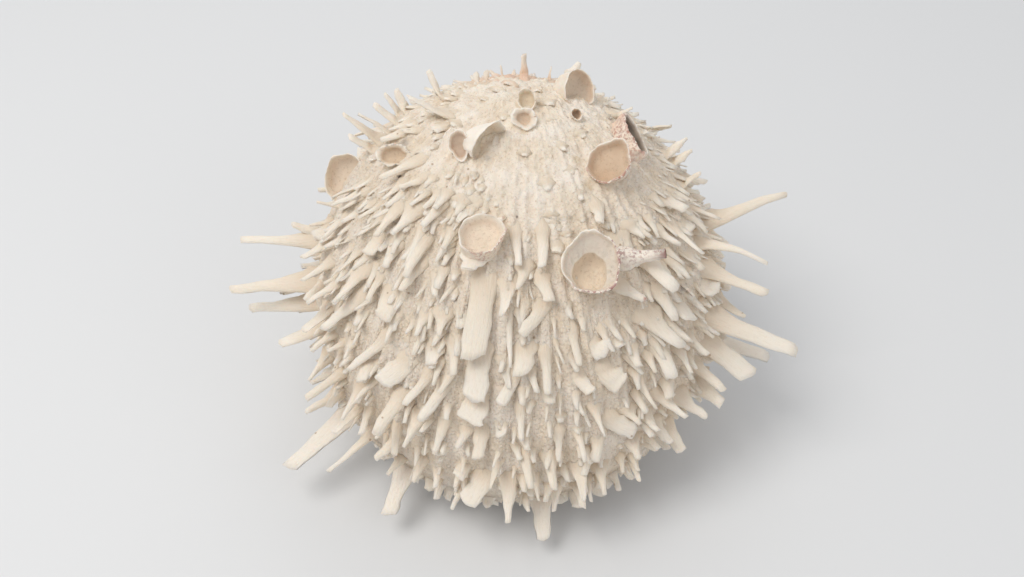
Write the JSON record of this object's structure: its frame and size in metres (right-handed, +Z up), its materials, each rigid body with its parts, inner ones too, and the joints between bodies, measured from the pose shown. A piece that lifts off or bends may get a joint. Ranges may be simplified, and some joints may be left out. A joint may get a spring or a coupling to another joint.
{
  "type": "thorny oyster shell",
  "caption": "Closed two-valved sea shell, domed and covered in radial rows of blade-like spines, with dead shells cemented on top; rests on a flat scar.",
  "frame": {"origin": "middle of the flat scar under the lower valve, on the surface it rests on", "axes": "+X along the hinge to the right, +Y from the front margin to the hinge, +Z up"},
  "size_m": [0.1741, 0.1537, 0.1024],
  "materials": {
    "upper_valve": "chalky cream shell, tan in the grooves, whiter on worn spine tips",
    "lower_valve": "pale chalky shell, slightly translucent at thin scales",
    "cemented_shell": "white rims, tan insides, pink-purple granular outsides"
  },
  "bodies": {
    "root": {"upper_valve": "upper_valve", "lower_valve": "lower_valve", "large_cup_right": "cemented_shell", "cup_left": "cemented_shell", "cup_upper_right": "cemented_shell", "cup_skyline": "cemented_shell", "ring_top": "cemented_shell", "ring_middle": "cemented_shell", "tube_end": "cemented_shell", "spout_cup": "cemented_shell", "brown_cup_left": "cemented_shell", "fan_left": "cemented_shell", "hood_scale": "cemented_shell", "crust_right": "cemented_shell", "plate_upper_right": "cemented_shell"}
  },
  "joints": []
}
